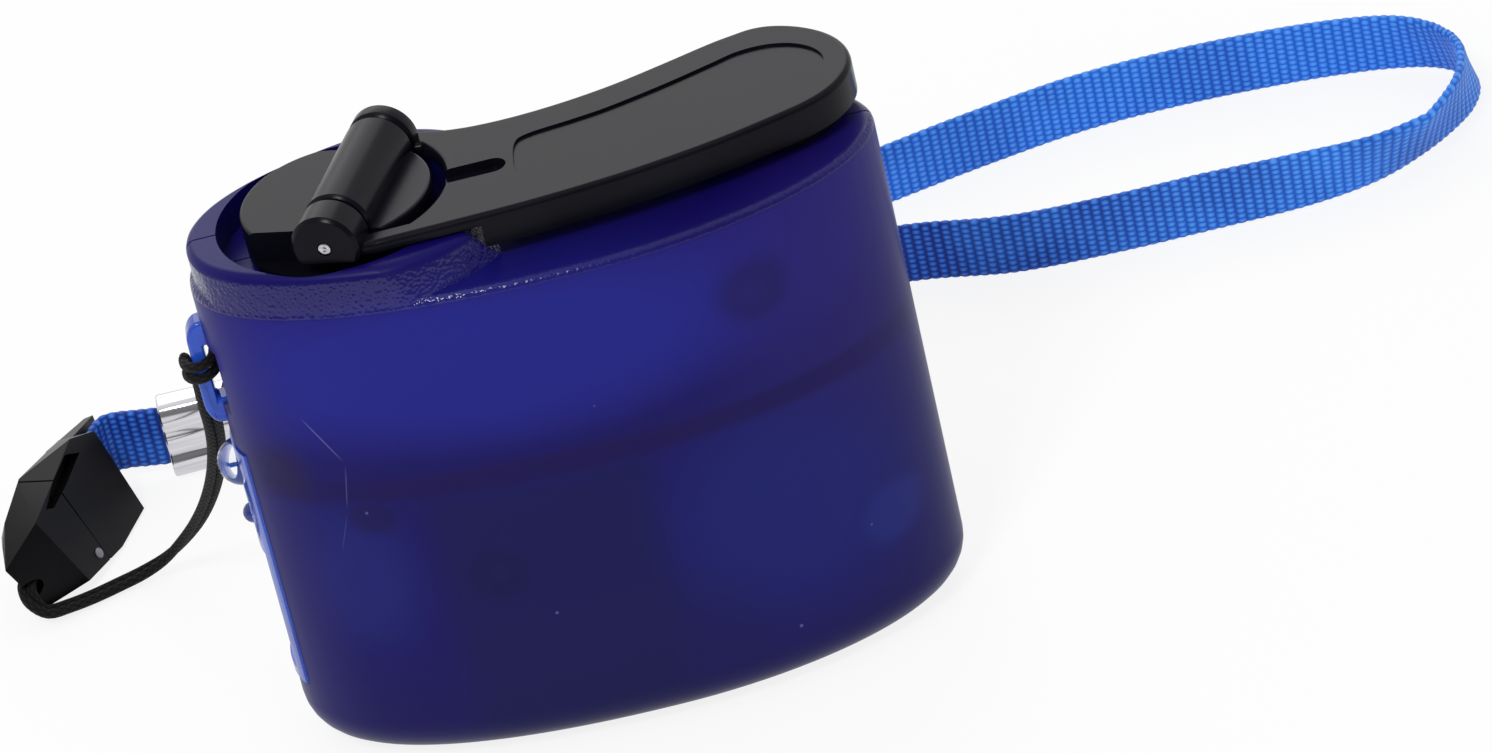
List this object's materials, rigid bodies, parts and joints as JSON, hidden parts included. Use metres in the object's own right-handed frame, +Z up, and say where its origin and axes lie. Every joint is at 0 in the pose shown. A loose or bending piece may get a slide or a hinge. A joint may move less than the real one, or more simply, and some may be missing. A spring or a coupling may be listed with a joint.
{
  "type": "hand crank generator",
  "caption": "Pocket hand crank generator with a folding crank arm on an oval translucent casing, a charging socket with a lamp at one end, and a wrist lanyard.",
  "frame": {"origin": "centre of the casing's flat bottom face, halfway along and across the casing", "axes": "+X along the casing from the socket end to the arm's free end, +Y towards the lanyard's side, +Z up along the crank axis"},
  "size_m": [0.1613, 0.0937, 0.0603],
  "materials": {
    "blue_plastic": "translucent, satin",
    "light_blue_plastic": "translucent, glossy",
    "black_plastic": "satin",
    "white_plastic": "satin",
    "clear_plastic": "clear, polished",
    "bright_steel": "bright plated",
    "brass": "turned",
    "copper": "enamelled wire",
    "dark_magnet": "sintered",
    "green_board": "laminate",
    "blue_webbing": "woven",
    "black_cord": "braided"
  },
  "bodies": {
    "casing": {"casing_front": "blue_plastic", "casing_rear": "blue_plastic", "case_screw_1": "bright_steel", "case_screw_2": "bright_steel", "case_screw_3": "bright_steel", "shaft_bush": "brass", "gear_axle_1": "bright_steel", "gear_axle_2": "bright_steel", "upper_gear_plate": "black_plastic", "lower_gear_plate": "black_plastic", "spacer_post_1": "bright_steel", "spacer_post_2": "bright_steel", "spacer_post_3": "bright_steel", "spacer_post_4": "bright_steel", "generator_can": "bright_steel", "generator_cap": "bright_steel", "generator_winding": "copper", "circuit_board": "green_board", "storage_capacitor": "bright_steel", "regulator_chip": "black_plastic", "power_coil": "black_plastic", "port_panel": "light_blue_plastic", "usb_socket": "bright_steel", "usb_tongue": "white_plastic", "flashlight_led": "clear_plastic", "indicator_led": "clear_plastic", "lanyard_lug": "light_blue_plastic", "lanyard_cord": "black_cord", "webbing_loop": "blue_webbing", "webbing_tail": "blue_webbing", "ferrule": "bright_steel", "buckle_body": "black_plastic", "buckle_insert": "black_plastic"},
    "crank": {"crank_hub": "black_plastic", "crank_shaft": "bright_steel", "crank_gear": "white_plastic", "retaining_ring": "bright_steel"},
    "arm": {"crank_arm": "black_plastic", "hinge_pin": "bright_steel", "knob_rivet": "bright_steel"},
    "knob": {"crank_knob": "black_plastic"},
    "gear_1": {"compound_gear_1": "white_plastic"},
    "gear_2": {"compound_gear_2": "white_plastic"},
    "rotor": {"generator_rotor": "dark_magnet", "rotor_pinion": "brass"}
  },
  "joints": [
    {"name": "crank_spin", "type": "hinge", "parent": "casing", "child": "crank", "pos_m": [-0.0177, 0, 0.052], "axis": [0, 0, 1], "continuous": true},
    {"name": "arm_flip", "type": "hinge", "parent": "crank", "child": "arm", "pos_m": [-0.01566, -0.00082, 0.057], "axis": [-0.3746, -0.9272, 0], "range_deg": [0, 180]},
    {"name": "knob_spin", "type": "hinge", "parent": "arm", "child": "knob", "pos_m": [0.0233, 0.0033, 0.0519], "axis": [0, 0, 1], "continuous": true},
    {"name": "gear_1_spin", "type": "hinge", "parent": "casing", "child": "gear_1", "pos_m": [-0.0045, 0, 0.0406], "axis": [0, 0, 1], "continuous": true},
    {"name": "gear_2_spin", "type": "hinge", "parent": "casing", "child": "gear_2", "pos_m": [0.0087, 0, 0.0376], "axis": [0, 0, 1], "continuous": true},
    {"name": "rotor_spin", "type": "hinge", "parent": "casing", "child": "rotor", "pos_m": [-0.0045, 0, 0.0175], "axis": [0, 0, 1], "continuous": true}
  ],
  "couplings": [
    {"joint": "gear_1_spin", "follows": "crank_spin", "ratio": -3},
    {"joint": "gear_2_spin", "follows": "crank_spin", "ratio": 9},
    {"joint": "rotor_spin", "follows": "crank_spin", "ratio": -27}
  ]
}
